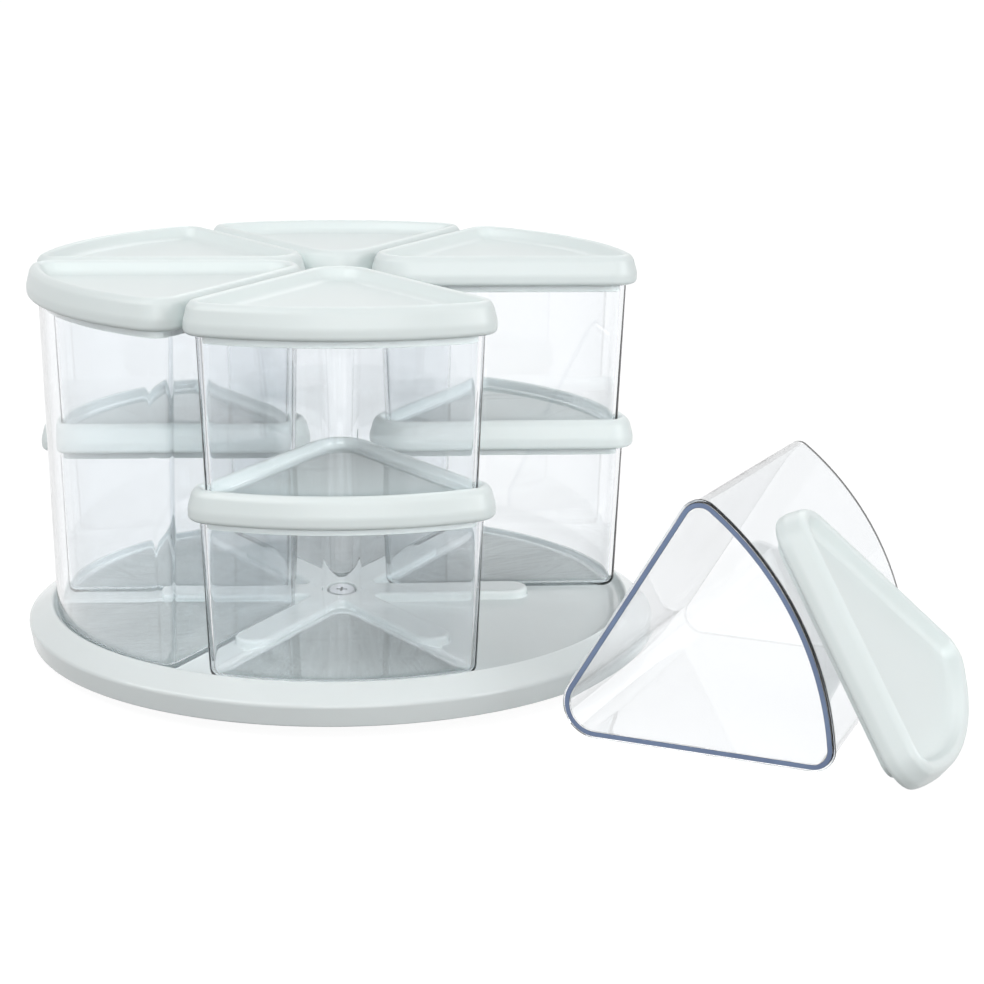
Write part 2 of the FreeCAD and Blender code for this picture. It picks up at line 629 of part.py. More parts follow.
def make_base():
    """Fixed base: a round plate with a stiffening lip, the lower race ring, the boss that the
    pivot screw enters, and sunk seats for the rubber feet."""
    body = new_body("base_plate")
    plate = new_sketch(body, "plate", plane="XZ_Plane")
    lip_top = add(PLATE_TOP, "sizes.base_lip")
    lip_in = less("sizes.base_radius", "sizes.base_wall")
    draw_polygon(plate, [
        ("0", "sizes.base_height"),
        ("sizes.base_radius", "sizes.base_height"),
        ("sizes.base_radius", lip_top),
        (lip_in, lip_top),
        (lip_in, PLATE_TOP),
        (RACE_OUT, PLATE_TOP),
        (RACE_OUT, LOWER_RACE),
        (RACE_IN, LOWER_RACE),
        (RACE_IN, PLATE_TOP),
        ("sizes.boss_radius", PLATE_TOP),
        ("sizes.boss_radius", BOSS_TOP),
        ("0", BOSS_TOP),
    ])
    revolve(body, plate)
    cut_race(body)
    thread = new_sketch(body, "thread", height=BOSS_TOP)
    draw_circle(thread, add("sizes.thread_radius", "sizes.thread_play"))
    pocket(body, thread, add("sizes.thread_length", "sizes.thread_play"))
    seat = new_sketch(body, "foot_seat", height="sizes.base_height")
    draw_circle(seat, add("sizes.foot_radius", "sizes.foot_play"), x="sizes.foot_circle")
    pattern(body, pocket(body, seat, "sizes.foot_sink", reverse=True), "sizes.foot_count")
    centre_seat = new_sketch(body, "centre_seat", height="sizes.base_height")
    draw_circle(centre_seat, add("sizes.foot_radius", "sizes.foot_play"))
    pocket(body, centre_seat, "sizes.foot_sink", reverse=True)
    return body


def make_cage():
    """Ball cage: a flat ring with a hole for each ball."""
    body = new_body("ball_cage")
    ring = new_sketch(body, "ring", height=less("sizes.ball_height", "sizes.cage_thickness / 2"))
    draw_circle(ring, "sizes.race_radius + sizes.cage_width / 2")
    draw_circle(ring, "sizes.race_radius - sizes.cage_width / 2")
    pad(body, ring, "sizes.cage_thickness")
    hole = new_sketch(body, "hole", height=add("sizes.ball_height", "sizes.cage_thickness / 2"))
    draw_circle(hole, "sizes.ball_radius + sizes.cage_play", x="sizes.race_radius")
    pattern(body, pocket(body, hole, "sizes.cage_thickness"), "sizes.ball_count")
    return body


def make_piece(kind, label, sizes, x, y, z):
    """Part primitive with its sizes and its place tied to expressions."""
    piece = doc.addObject(kind, label)
    for name, to in sizes.items():
        piece.setExpression(name, to)
    for axis, to in (("x", x), ("y", y), ("z", z)):
        if to != "0":
            piece.setExpression(f"Placement.Base.{axis}", to)
    return piece


def make_group(label, kind, sizes, count, radius, height, centre=False):
    """Identical small pieces evenly spaced on a circle, and one at its centre if asked, as
    separate solids of one node."""
    pieces = []
    for i in range(int(number(count))):
        turn = f"({i} * 360 / {count})"
        spot = (f"{radius} * cos{turn}", f"{radius} * sin{turn}", height)
        pieces.append(make_piece(kind, f"{label}_{i + 1}", sizes, *spot))
    if centre:
        pieces.append(make_piece(kind, f"{label}_centre", sizes, "0", "0", height))
    group = doc.addObject("Part::Compound", label)
    group.Label = label
    group.Links = pieces
    return group


def make_screw():
    """Pivot screw: flat round head with a cross recess, a shoulder that the tray turns on and
    a thread, drawn plain, in the base's boss."""
    body = new_body("pivot_screw")
    outline = new_sketch(body, "outline", plane="XZ_Plane")
    head_top = add(HEAD_SEAT, "sizes.head_height")
    tip = less(BOSS_TOP, "sizes.thread_length")
    draw_polygon(outline, [
        ("0", tip),
        ("sizes.thread_radius", tip),
        ("sizes.thread_radius", BOSS_TOP),
        ("sizes.pivot_radius", BOSS_TOP),
        ("sizes.pivot_radius", HEAD_SEAT),
        ("sizes.head_radius", HEAD_SEAT),
        ("sizes.head_radius", less(head_top, "sizes.head_dome")),
        (less("sizes.head_radius", "sizes.head_dome"), head_top),
        ("0", head_top),
    ])
    revolve(body, outline)
    recess = new_sketch(body, "recess", height=head_top)
    long, wide = "sizes.drive_reach", "(sizes.drive_width / 2)"
    quarter = [(long, wide), (wide, wide), (wide, long)]
    corners = []
    for x_sign, y_sign, order in (("", "", 1), ("-", "", -1), ("-", "-", 1), ("", "-", -1)):
        corners += [(x_sign + x, y_sign + y) for x, y in quarter[::order]]
    draw_polygon(recess, corners)
    pocket(body, recess, "sizes.drive_depth")
    return body


def make_washer():
    """Plain washer between the screw's head and the tray's hub."""
    body = new_body("pivot_washer")
    ring = new_sketch(body, "ring", height=HUB_SEAT)
    draw_circle(ring, "sizes.washer_radius")
    draw_circle(ring, PIVOT_BORE)
    pad(body, ring, "sizes.washer_height")
    return body


tray = make_tray()
tray.setExpression("Placement.Rotation.Angle", "sizes.rest_turn")
tray.Placement.Rotation.Axis = FreeCAD.Vector(0, 0, 1)
foot_sizes = {"Radius": "sizes.foot_radius", "Height": "sizes.base_height + sizes.foot_sink"}
feet = make_group("rubber_feet", "Part::Cylinder", foot_sizes, "sizes.foot_count",
                  "sizes.foot_circle", "0", centre=True)
balls = make_group("bearing_balls", "Part::Sphere", {"Radius": "sizes.ball_radius"},
                   "sizes.ball_count", "sizes.race_radius", "sizes.ball_height")
nodes += [tray, make_base(), feet, make_cage(), balls, make_screw(), make_washer()]

# ---------------------------------------------------------------- check and export

doc.recompute()
for item in doc.Objects:
    if "Invalid" in item.State or "Error" in item.State:
        raise ValueError(f"{item.Label}: {item.State}")
for node in nodes:
    if node.Shape.isNull() or not node.Shape.isValid():
        raise ValueError(f"{node.Label}: bad shape")
    if node.TypeId == "PartDesign::Body" and len(node.Shape.Solids) != 1:
        raise ValueError(f"{node.Label}: not one solid")

os.makedirs("parts", exist_ok=True)
for node in nodes:
    node.Shape.exportStep(f"parts/{node.Label}.step")
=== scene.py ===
import math

import bmesh
import bpy
from mathutils import Matrix, Vector


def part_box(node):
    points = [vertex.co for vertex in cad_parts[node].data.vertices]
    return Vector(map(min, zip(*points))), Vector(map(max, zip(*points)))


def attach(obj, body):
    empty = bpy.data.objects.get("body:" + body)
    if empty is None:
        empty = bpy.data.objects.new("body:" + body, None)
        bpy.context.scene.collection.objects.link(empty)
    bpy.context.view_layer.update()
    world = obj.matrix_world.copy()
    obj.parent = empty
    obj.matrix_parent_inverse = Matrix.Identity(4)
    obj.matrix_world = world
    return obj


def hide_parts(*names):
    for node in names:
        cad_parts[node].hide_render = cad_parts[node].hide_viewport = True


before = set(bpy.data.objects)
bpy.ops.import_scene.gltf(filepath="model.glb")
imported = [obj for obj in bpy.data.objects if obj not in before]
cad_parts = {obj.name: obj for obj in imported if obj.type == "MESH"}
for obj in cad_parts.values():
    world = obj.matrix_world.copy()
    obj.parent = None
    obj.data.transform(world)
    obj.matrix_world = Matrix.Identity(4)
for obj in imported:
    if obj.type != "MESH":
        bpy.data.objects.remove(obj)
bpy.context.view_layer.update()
bpy.context.scene.view_settings.view_transform = "Standard"
cycles = bpy.context.scene.cycles
cycles.max_bounces = cycles.transmission_bounces = 28
cycles.transparent_max_bounces = 28

# ---------------------------------------------------------------- camera
# Long lens a little above the lids, in front of the carousel and slightly to its right, turned
# a little left and rolled by half a degree.


def new_object(name, data):
    """Object in the scene, at the origin."""
    made = bpy.data.objects.new(name, data)
    bpy.context.scene.collection.objects.link(made)
    return made


camera = new_object("camera", bpy.data.cameras.new("camera"))
bpy.context.scene.camera = camera
camera.data.sensor_width = 36
camera.data.lens = 80.56
camera.data.shift_x = 0.001
camera.data.shift_y = 0.0315
camera.data.clip_start = 0.05
camera.data.clip_end = 30
LOOK_DOWN, LOOK_LEFT, ROLL = (math.radians(a) for a in (15.09, 1.04, 0.56))
camera.matrix_world = (Matrix.Translation((0.0875, -0.9849, 0.3206))
                       @ Matrix.Rotation(LOOK_LEFT, 4, "Z")
                       @ Matrix.Rotation(math.pi / 2 - LOOK_DOWN, 4, "X")
                       @ Matrix.Rotation(ROLL, 4, "Z"))


# ---------------------------------------------------------------- floor, backdrop and light
# A white studio sweep: the floor keeps a soft shadow, and painted shade makes it a trace darker
# near the object.  The surroundings are white to the camera and in reflections.  Large soft boxes
# light the plastic evenly from all sides.

FLOOR_REACH = 25
# Painted shade: the floor's glow is darker within NEAR of the object and white beyond FAR.
NEAR, FAR, NEAR_PAINTED_SHADE = 0.4, 1.6, 0.935
LATER_MIRRORS = 0.18


def new_material(name):
    """Material with an empty node tree and its output."""
    material = bpy.data.materials.new(name)
    material.use_nodes = True
    material.node_tree.nodes.clear()
    return material, material.node_tree, material.node_tree.nodes.new("ShaderNodeOutputMaterial")


def add_node(tree, kind, **settings):
    """Node with its properties and input values set by name."""
    node = tree.nodes.new(kind)
    for name, value in settings.items():
        if hasattr(node, name):
            setattr(node, name, value)
        else:
            node.inputs[name.replace("_", " ")].default_value = value
    return node


def ranged(tree, value, low, high, start=0, stop=1):
    """Number that goes from low to high while the value goes from start to stop."""
    node = add_node(tree, "ShaderNodeMapRange", From_Min=start, From_Max=stop,
                    To_Min=low, To_Max=high)
    tree.links.new(value, node.inputs["Value"])
    return node.outputs[0]


def mixed(tree, choice, plain, special):
    """Plain shader where the choice is 0 and the special one where it is 1."""
    node = add_node(tree, "ShaderNodeMixShader")
    for socket, source in zip(node.inputs, (choice, plain, special)):
        tree.links.new(source, socket)
    return node.outputs[0]


def shown_rays(tree):
    """1 for camera, glossy and transmission rays, 0 for the light that falls on things."""
    path = tree.nodes.new("ShaderNodeLightPath")
    total = path.outputs["Is Camera Ray"]
    for name in ("Is Glossy Ray", "Is Transmission Ray"):
        either = add_node(tree, "ShaderNodeMath", operation="MAXIMUM")
        tree.links.new(total, either.inputs[0])
        tree.links.new(path.outputs[name], either.inputs[1])
        total = either.outputs[0]
    return total


def dimmed(tree):
    """Brightness of the surroundings.  It falls after the first mirror bounce on the way to
    them, as in a studio whose white paper ends at dark walls, so clear edges look crisp."""
    path = tree.nodes.new("ShaderNodeLightPath")
    return ranged(tree, path.outputs["Glossy Depth"], 1, LATER_MIRRORS, start=1, stop=2)


def floor_material():
    """White paper, with painted shade that makes its glow a trace darker near the object.  The
    light that it throws back onto things is that of plain grey paper."""
    material, tree, output = new_material("studio_floor")
    where = tree.nodes.new("ShaderNodeTexCoord")
    away = add_node(tree, "ShaderNodeVectorMath", operation="LENGTH")
    tree.links.new(where.outputs["Object"], away.inputs[0])
    glow = tree.nodes.new("ShaderNodeEmission")
    # Painted shade round the object: the glow darkens towards it.
    tree.links.new(ranged(tree, away.outputs["Value"], NEAR_PAINTED_SHADE, 1, start=NEAR, stop=FAR),
                   glow.inputs["Color"])
    tree.links.new(dimmed(tree), glow.inputs["Strength"])
    paper = add_node(tree, "ShaderNodeBsdfDiffuse", Color=(0.18, 0.18, 0.18, 1))
    bright = add_node(tree, "ShaderNodeAddShader")
    tree.links.new(paper.outputs[0], bright.inputs[0])
    tree.links.new(glow.outputs[0], bright.inputs[1])
    plain = add_node(tree, "ShaderNodeBsdfDiffuse", Color=(0.3, 0.3, 0.3, 1))
    surface = mixed(tree, shown_rays(tree), plain.outputs[0], bright.outputs[0])
    tree.links.new(surface, output.inputs["Surface"])
    return material


floor_mesh = bpy.data.meshes.new("studio_floor")
floor_mesh.from_pydata([(x * FLOOR_REACH, y * FLOOR_REACH, 0)
                        for x, y in ((-1, -1), (1, -1), (1, 1), (-1, 1))], [], [(0, 1, 2, 3)])
floor_mesh.materials.append(floor_material())
new_object("studio_floor", floor_mesh)

world = bpy.data.worlds.new("studio")
bpy.context.scene.world = world
world.use_nodes = True
sky = world.node_tree
sky.nodes.clear()
sky_light = add_node(sky, "ShaderNodeBackground", Color=(0.95, 0.97, 1, 1), Strength=0.24)
sky_white = add_node(sky, "ShaderNodeBackground", Color=(1, 1, 1, 1))
sky.links.new(dimmed(sky), sky_white.inputs["Strength"])
sky_out = add_node(sky, "ShaderNodeOutputWorld")
sky.links.new(mixed(sky, shown_rays(sky), sky_light.outputs[0], sky_white.outputs[0]),
              sky_out.inputs["Surface"])


def soft_box(name, place, width, height, power):
    """Rectangular lamp that faces the middle of the set."""
    lamp = bpy.data.lights.new(name, "AREA")
    lamp.shape = "RECTANGLE"
    lamp.size, lamp.size_y = width, height
    lamp.energy = power
    holder = new_object(name, lamp)
    holder.location = place
    holder.rotation_euler = (CENTRE - Vector(place)).to_track_quat("-Z", "Y").to_euler()


CENTRE = Vector((0.06, -0.02, 0.08))
soft_box("key_light", (-0.8, -1.0, 1.5), 1.0, 1.0, 8.5)
soft_box("front_light", (0.3, -1.75, 0.75), 1.2, 0.9, 9.5)
soft_box("right_light", (1.4, -0.6, 0.6), 0.8, 0.8, 9)
soft_box("left_light", (-1.4, -0.4, 1.2), 0.8, 1.0, 6.5)
soft_box("rear_light", (0.1, 1.3, 1.3), 1.4, 0.8, 7)


# ---------------------------------------------------------------- lids
# White moulded lid, one shape for every bin: a sixth of the turntable with an arc outside and a
# round apex.  It has a bullnose rim round a sunk top, on which the next bin's foot sits, with a
# groove underneath for the bin's bead and a plug that enters the bin's mouth.

MM = 0.001
PLACES = 6
HALF_ANGLE = math.pi / PLACES
LID_RADIUS, LID_SIDE, LID_CORNER, LID_APEX = 138, 1, 13, 18.2
INNERMOST = LID_CORNER - 0.1
CORNER_STEPS, APEX_STEPS, OUTER_STEPS, SIDE_STEPS = 16, 24, 64, 10
INTEGER_A, INTEGER_B = 2, 3
COLOUR_A, COLOUR_B, COLOUR_OUT = 6, 7, 2
SHARP = math.radians(40)


def arc_points(centre, radius, start, end, steps):
    """Points along an arc, both ends included."""
    return [(centre[0] + radius * math.cos(start + (end - start) * i / steps),
             centre[1] + radius * math.sin(start + (end - start) * i / steps))
            for i in range(steps + 1)]


def wedge_path():
    """Points of a lid's outline about +X, in millimetres, counter-clockwise."""
    sin_half, cos_half = math.sin(HALF_ANGLE), math.cos(HALF_ANGLE)
    offset = LID_SIDE + LID_CORNER
    reach = math.sqrt((LID_RADIUS - LID_CORNER) ** 2 - offset ** 2)
    corner = (cos_half * reach + sin_half * offset, sin_half * reach - cos_half * offset)
    turn = math.atan2(corner[1], corner[0])
    square = HALF_ANGLE + math.pi / 2
    tip = ((LID_SIDE + LID_APEX) / sin_half, 0)
    upper = arc_points(corner, LID_CORNER, turn, square, CORNER_STEPS)
    apex = arc_points(tip, LID_APEX, square, 2 * math.pi - square, APEX_STEPS)
    lower = [(x, -y) for x, y in reversed(upper)]

    def straight(a, b, steps=SIDE_STEPS):
        return [(a[0] + (b[0] - a[0]) * i / steps, a[1] + (b[1] - a[1]) * i / steps)
                for i in range(1, steps)]

    outer = arc_points((0, 0), LID_RADIUS, -turn, turn, OUTER_STEPS)[1:-1]
    return (outer + upper + straight(upper[-1], apex[0]) + apex
            + straight(apex[-1], lower[0]) + lower)


def rounded(corners, steps=6, support=0.4):
    """Section as points: corners of (inset, height, radius), with their rounding worked out and
    a point beside each end of it, so that the flats stay flat when shaded."""
    points = [Vector(corners[0][:2])]
    for before, (x, y, radius), after in zip(corners, corners[1:-1], corners[2:]):
        here = Vector((x, y))
        to_before = (Vector(before[:2]) - here).normalized()
        to_after = (Vector(after[:2]) - here).normalized()
        spread = to_before.angle(to_after)
        cut = radius / math.tan(spread / 2)
        centre = here + (to_before + to_after).normalized() * (radius / math.sin(spread / 2))
        first, last = here + to_before * cut, here + to_after * cut
        start = first - centre
        sweep = start.angle_signed(last - centre)
        arc = [centre + Matrix.Rotation(-sweep * i / steps, 2) @ start for i in range(steps + 1)]
        beside = min(support, radius)
        points += [first + to_before * beside, *arc, last + to_after * beside]
    return points + [Vector(corners[-1][:2])]


def curve_object(name, points):
    """Closed path in the XY plane, in millimetres."""
    curve = bpy.data.curves.new(name, "CURVE")
    curve.dimensions = "3D"
    curve.twist_mode = "Z_UP"
    spline = curve.splines.new("POLY")
    spline.points.add(len(points) - 1)
    for point, (x, y) in zip(spline.points, points):
        point.co = (x, y, 0, 1)
    spline.use_cyclic_u = True
    return new_object(name, curve)


def section_sweep():
    """Geometry tree: sweeps the piece's own section round a path, and closes the loops at the
    lower and upper level with flat floors."""
    tree = bpy.data.node_groups.new("section_sweep", "GeometryNodeTree")
    for name, kind in (("Section", "Geometry"), ("Path", "Object"), ("Lower floor", "Float"),
                       ("Upper floor", "Float"), ("Material", "Material")):
        tree.interface.new_socket(name, in_out="INPUT", socket_type=f"NodeSocket{kind}")
    tree.interface.new_socket("Piece", in_out="OUTPUT", socket_type="NodeSocketGeometry")
    inputs = tree.nodes.new("NodeGroupInput").outputs
    link = tree.links.new

    path = add_node(tree, "GeometryNodeObjectInfo")
    link(inputs["Path"], path.inputs["Object"])
    steady = add_node(tree, "GeometryNodeSetCurveNormal", mode="Z_UP")
    link(path.outputs["Geometry"], steady.inputs["Curve"])
    section = tree.nodes.new("GeometryNodeMeshToCurve")
    link(inputs["Section"], section.inputs["Mesh"])
    sweep = tree.nodes.new("GeometryNodeCurveToMesh")
    link(steady.outputs["Curve"], sweep.inputs["Curve"])
    link(section.outputs["Curve"], sweep.inputs["Profile Curve"])

    neighbours = tree.nodes.new("GeometryNodeInputMeshEdgeNeighbors")
    open_edge = add_node(tree, "FunctionNodeCompare", data_type="INT", operation="EQUAL")
    link(neighbours.outputs["Face Count"], open_edge.inputs[INTEGER_A])
    open_edge.inputs[INTEGER_B].default_value = 1
    position = tree.nodes.new("GeometryNodeInputPosition")
    height = tree.nodes.new("ShaderNodeSeparateXYZ")
    link(position.outputs[0], height.inputs[0])
    pieces = [sweep.outputs["Mesh"]]
    for name in ("Lower floor", "Upper floor"):
        level = add_node(tree, "FunctionNodeCompare", data_type="FLOAT", operation="EQUAL")
        level.inputs["Epsilon"].default_value = 0.05
        link(height.outputs["Z"], level.inputs[0])
        link(inputs[name], level.inputs[1])
        both = add_node(tree, "FunctionNodeBooleanMath", operation="AND")
        link(open_edge.outputs[0], both.inputs[0])
        link(level.outputs[0], both.inputs[1])
        loop = tree.nodes.new("GeometryNodeMeshToCurve")
        link(sweep.outputs["Mesh"], loop.inputs["Mesh"])
        link(both.outputs[0], loop.inputs["Selection"])
        fill = tree.nodes.new("GeometryNodeFillCurve")
        link(loop.outputs["Curve"], fill.inputs["Curve"])
        offset = tree.nodes.new("ShaderNodeCombineXYZ")
        link(inputs[name], offset.inputs["Z"])
        raised = tree.nodes.new("GeometryNodeTransform")
        link(fill.outputs["Mesh"], raised.inputs["Geometry"])
        link(offset.outputs[0], raised.inputs["Translation"])
        pieces.append(raised.outputs["Geometry"])
    joined = tree.nodes.new("GeometryNodeJoinGeometry")
    for piece in reversed(pieces):
        link(piece, joined.inputs[0])
    merged = add_node(tree, "GeometryNodeMergeByDistance", Distance=0.01)
    link(joined.outputs[0], merged.inputs["Geometry"])
    real = tree.nodes.new("GeometryNodeRealizeInstances")
    link(merged.outputs[0], real.inputs[0])
    finish = tree.nodes.new("GeometryNodeSetMaterial")
    link(real.outputs[0], finish.inputs["Geometry"])
    link(inputs["Material"], finish.inputs["Material"])
    link(finish.outputs[0], tree.nodes.new("NodeGroupOutput").inputs[0])
    return tree


def clean_mesh(made, mesh):
    """Fills a mesh with faces that point outwards, smooth but for its sharp edges."""
    bmesh.ops.recalc_face_normals(made, faces=made.faces)
    made.to_mesh(mesh)
    made.free()
    mesh.shade_smooth()
    mesh.set_sharp_from_angle(angle=SHARP)
    return mesh


def swept(section, lower, upper, material):
    """Mesh of a section (inset, height) swept round the outline, in metres."""
    line = bpy.data.meshes.new("section")
    line.from_pydata([(-inset, -height, 0) for inset, height in section],
                     [(i, i + 1) for i in range(len(section) - 1)], [])
    holder = new_object("section", line)
    maker = holder.modifiers.new("sweep", "NODES")
    maker.node_group = sweep_tree
    values = {"Path": outline, "Lower floor": lower, "Upper floor": upper, "Material": material}
    for item in sweep_tree.interface.items_tree:
        if item.in_out == "INPUT" and item.name in values:
            maker[item.identifier] = values[item.name]
    shape = holder.evaluated_get(bpy.context.evaluated_depsgraph_get())
    mesh = bpy.data.meshes.new_from_object(shape)
    bpy.data.objects.remove(holder)
    mesh.transform(Matrix.Scale(MM, 4))
    made = bmesh.new()
    made.from_mesh(mesh)
    return clean_mesh(made, mesh)


outline = curve_object("wedge_outline", wedge_path())
sweep_tree = section_sweep()

MOUTH, WALL, DRAFT, BEAD_OUT, SMALL_HIGH = 4.6, 2.3, 2.9, 0.9, 77
BASE_INSET = MOUTH + DRAFT
FOOT_ROUND = (LID_CORNER - BASE_INSET) * 0.9
LID_RIM, RECESS_DEPTH, LID_LAP, PLUG_DROP, PLUG_WALL = 13.8, 6.3, 8, 3.7, 1.6
SLOPE_WIDE, PANEL, HEM_FLAT = 3.6, 2, 1
NEST_FIT, BEAD_FIT, PLUG_FIT = 0.3, 0.6, 0.3
SLOPE_LONG = math.hypot(SLOPE_WIDE, RECESS_DEPTH)
LID_SEAT = LID_RIM - RECESS_DEPTH
LID_CREST = (BASE_INSET + FOOT_ROUND - SLOPE_WIDE
             - ((FOOT_ROUND + NEST_FIT) * SLOPE_LONG - FOOT_ROUND * SLOPE_WIDE) / RECESS_DEPTH)
# The crest's corner stands PEAK_OVER above the rim's height, and its rounding brings it down.
PEAK_OVER, RIM_LOW, RIM_HIGH, RIM_LEAN = 1.26, 5, 11.2, 1.7
GROOVE = MOUTH - BEAD_OUT - BEAD_FIT
PLUG = MOUTH + WALL + PLUG_FIT + DRAFT * (LID_LAP + PLUG_DROP) / SMALL_HIGH
LID_SECTION = [  # inset, height, rounding
    (INNERMOST, LID_SEAT),
    (LID_CREST + SLOPE_WIDE, LID_SEAT, 4.5),
    (LID_CREST - PEAK_OVER * SLOPE_WIDE / RECESS_DEPTH, LID_RIM + PEAK_OVER, 2.2),
    (RIM_LEAN, RIM_HIGH, 4.2),
    (0, RIM_LOW, 8),
    (0, 0, GROOVE - HEM_FLAT),
    (GROOVE, 0, 0.3),
    (GROOVE, LID_LAP, 0.3),
    (PLUG, LID_LAP, 0.3),
    (PLUG, -PLUG_DROP, 0.6),
    (PLUG + PLUG_WALL, -PLUG_DROP, 0.3),
    (PLUG + PLUG_WALL, LID_SEAT - PANEL, 0.8),
    (INNERMOST, LID_SEAT - PANEL),
]


def noise(tree, scale, detail):
    """Soft noise that is fixed to the piece."""
    where = tree.nodes.new("ShaderNodeTexCoord")
    texture = add_node(tree, "ShaderNodeTexNoise", Scale=scale, Detail=detail)
    tree.links.new(where.outputs["Object"], texture.inputs["Vector"])
    return texture.outputs[0]


def tinted(tree, amount, low, high):
    """Colour that goes from low to high with the amount."""
    node = add_node(tree, "ShaderNodeMix", data_type="RGBA")
    node.inputs[COLOUR_A].default_value = (*low, 1)
    node.inputs[COLOUR_B].default_value = (*high, 1)
    tree.links.new(amount, node.inputs[0])
    return node.outputs[COLOUR_OUT]


def relief(tree, height, strength, depth):
    """Bumps of a depth in metres."""
    node = add_node(tree, "ShaderNodeBump", Strength=strength, Distance=depth)
    tree.links.new(height, node.inputs["Height"])
    return node.outputs[0]


def main_shader(tree, sources, **settings):
    """Principled shader: sources feed the inputs that vary, settings are the even ones."""
    node = add_node(tree, "ShaderNodeBsdfPrincipled", **settings)
    for name, source in sources.items():
        tree.links.new(source, node.inputs[name])
    return node.outputs[0]


def white_plastic(name, colour, roughness):
    """Glossy moulded plastic: faint mottling of colour and gloss, and a fine skin."""
    material, tree, output = new_material(name)
    cloud = noise(tree, 38, 3)
    body = main_shader(tree, {
        "Base Color": tinted(tree, cloud, [c * 0.975 for c in colour], colour),
        "Roughness": ranged(tree, cloud, roughness - 0.04, roughness + 0.06),
        "Normal": relief(tree, noise(tree, 900, 2), 0.06, 0.0002),
    }, IOR=1.5, Subsurface_Weight=0.12, Subsurface_Radius=(1.0, 0.9, 0.85), Subsurface_Scale=0.002)
    tree.links.new(body, output.inputs["Surface"])
    return material


lid_white = white_plastic("lid_white", (0.82, 0.885, 0.875), 0.33)
lid_mesh = swept(rounded(LID_SECTION), LID_SEAT - PANEL, LID_SEAT, lid_white)


# ---------------------------------------------------------------- bins
# Clear moulded bin: walls of even thickness that close in towards a rounded foot, with a bead
# round the mouth.  The tall bin is as high as two small ones with a lid between them, and its
# foot is less round.

BIN_FLOOR, BEAD_HIGH, BEAD_STEP, END_IN = 2.3, 3, 0.8, 0.2
TALL_FOOT, INSIDE_FOOT = 2.5, 0.54
STACK_PITCH = SMALL_HIGH - LID_LAP + LID_SEAT
TALL_HIGH = STACK_PITCH + SMALL_HIGH
END_DEPTH, FACES_UP = 0.1, 0.9


def bin_section(height, foot):
    """Corners of the wall as (inset, height, rounding), from under the floor round the mouth
    to the floor's upper side."""
    bead, inner = MOUTH - BEAD_OUT, MOUTH + WALL
    return [
        (INNERMOST, 0),
        (BASE_INSET, 0, foot),
        (MOUTH + DRAFT * BEAD_HIGH / height, height - BEAD_HIGH, 0.25),
        (bead, height - BEAD_HIGH, 0.6),
        (bead, height - BEAD_STEP, 0.35),
        (MOUTH + END_IN, height - BEAD_STEP, 0.15),
        (MOUTH + END_IN, height, 0.2),
        (inner, height, 0.3),
        (inner + DRAFT * (height - BIN_FLOOR) / height, BIN_FLOOR, foot * INSIDE_FOOT),
        (INNERMOST, BIN_FLOOR),
    ]


def clear_plastic():
    """Clear moulded plastic: light passes nearly straight through a wall, and goes blue-grey
    along the inside of it, so that the mouth and the edges look darker."""
    material, tree, output = new_material("clear_plastic")
    flow = noise(tree, 22, 1)
    body = main_shader(tree, {
        "Roughness": ranged(tree, flow, 0, 0.03),
        "Normal": relief(tree, flow, 0.12, 0.0006),
    }, IOR=1.49, Base_Color=(0.97, 0.98, 0.985, 1), Transmission_Weight=1)
    through = add_node(tree, "ShaderNodeBsdfTransparent", Color=(0.985, 0.99, 0.99, 1))
    path = tree.nodes.new("ShaderNodeLightPath")
    surface = mixed(tree, path.outputs["Is Shadow Ray"], body, through.outputs[0])
    tree.links.new(surface, output.inputs["Surface"])
    inside = add_node(tree, "ShaderNodeVolumeAbsorption", Color=(0.42, 0.48, 0.62, 1), Density=13)
    tree.links.new(inside.outputs[0], output.inputs["Volume"])
    return material


def painted_mouth_glow():
    """End of the wall at the mouth, painted blue-grey: painted light for the light that has run
    all along the wall and that the plastic turns blue-grey."""
    material, tree, output = new_material("painted_mouth_glow")
    cloud = noise(tree, 60, 2)
    body = main_shader(tree, {
        "Base Color": tinted(tree, cloud, (0.14, 0.19, 0.34), (0.26, 0.35, 0.53)),
        "Roughness": ranged(tree, cloud, 0.12, 0.3),
        "Normal": relief(tree, cloud, 0.1, 0.0002),
    }, IOR=1.49)
    tree.links.new(body, output.inputs["Surface"])
    return material


clear = clear_plastic()
edge = painted_mouth_glow()
bin_meshes = {}
for height, foot in ((SMALL_HIGH, FOOT_ROUND), (TALL_HIGH, TALL_FOOT)):
    mesh = swept(rounded(bin_section(height, foot)), 0, BIN_FLOOR, clear)
    mesh.materials.clear()
    mesh.materials.append(clear)
    mesh.materials.append(edge)
    # The end faces at the mouth that face up get the painted blue-grey light.
    for flat in mesh.polygons:
        at_mouth = flat.center.z > (height - END_DEPTH) * MM
        flat.material_index = at_mouth and flat.normal.z > FACES_UP
    bin_meshes[height] = mesh
bpy.data.objects.remove(outline)


# ---------------------------------------------------------------- the stacks on the tray
# Each position of the turntable holds two small bins or a tall one; the right front position
# is empty.  A lid overlaps its bin, and an upper bin stands in the sunk top of the lower lid.

REST_TURN = 5.4
TRAY_FLOOR = 18.5
STACKS = {"front": 0, "right_rear": 2, "left_rear": 4}
TALL_BINS = {"rear": 3, "left_front": 5}


def put(name, mesh, place, node):
    """Copy of a mesh as a piece in its place.  It stands for a CAD node on a body of the same
    name."""
    piece = new_object(name, mesh.copy())
    piece.data.transform(place)
    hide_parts(node)
    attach(piece, node)


def upright(index, height):
    """Place of a bin or lid at a position of the turntable."""
    turn = math.radians(REST_TURN - 90 + 360 / PLACES * index)
    return Matrix.Translation((0, 0, height * MM)) @ Matrix.Rotation(turn, 4, "Z")


